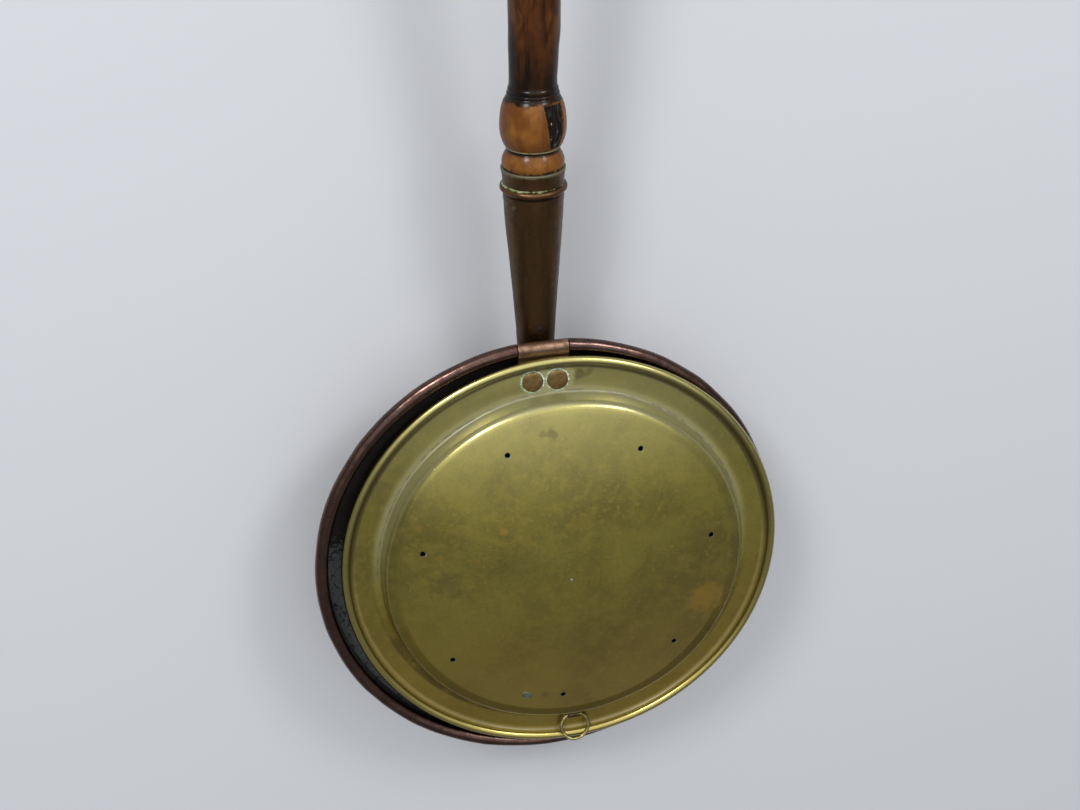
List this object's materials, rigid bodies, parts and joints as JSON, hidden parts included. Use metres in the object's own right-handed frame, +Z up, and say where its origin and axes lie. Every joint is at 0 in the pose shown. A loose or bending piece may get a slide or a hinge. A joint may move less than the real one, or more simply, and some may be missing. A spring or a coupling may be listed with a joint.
{
  "type": "bed warming pan",
  "caption": "Covered copper ember pan with a hinged, pierced brass lid, a loose ring pull, a sheet ferrule and a long turned wooden handle with a hanging ring.",
  "frame": {"origin": "middle of the underside of the pan's flat base, on the surface that the pan lies on", "axes": "+Z up out of the lid, +Y towards the handle's far end, +X to the right when the handle points away"},
  "size_m": [0.305, 1.0481, 0.1642],
  "materials": {
    "copper_pan": "worn, browned copper",
    "copper_ferrule": "dark browned copper",
    "copper_fittings": "browned copper",
    "brass_lid": "dull, lightly scratched brass",
    "brass_fittings": "tarnished brass",
    "iron": "dark forged iron",
    "solder": "dull grey solder",
    "wood": "dark stained, waxed and worn"
  },
  "bodies": {
    "pan": {"pan_bowl": "copper_pan", "rim_wire": "iron", "hinge_pin": "iron", "socket_plate": "iron", "socket_rivets": "copper_fittings", "ferrule": "copper_ferrule", "ferrule_band": "copper_fittings", "ferrule_pin": "iron", "ferrule_nails": "brass_fittings", "wooden_handle": "wood", "hanging_eye": "brass_fittings"},
    "lid": {"lid_plate": "brass_lid", "lid_edge_wire": "iron", "hinge_strap": "copper_fittings", "hinge_rivets": "copper_fittings", "ring_clip": "copper_fittings", "lid_patch": "solder"},
    "pull": {"ring_pull": "brass_fittings"},
    "hanger": {"hanging_ring": "brass_fittings"}
  },
  "joints": [
    {"name": "lid_hinge", "type": "hinge", "parent": "pan", "child": "lid", "pos_m": [0, 0.14742, 0.062], "axis": [-1, 0, 0], "range_deg": [0, 150]},
    {"name": "ring_pull_swing", "type": "hinge", "parent": "lid", "child": "pull", "pos_m": [0.00969, -0.1269, 0.06732], "axis": [-0.9994, 0, -0.0335], "range_deg": [0, 104]},
    {"name": "hanging_ring_swing", "type": "hinge", "parent": "pan", "child": "hanger", "pos_m": [0, 0.88967, 0.151], "axis": [1, 0, 0], "range_deg": [-40, 235]}
  ]
}
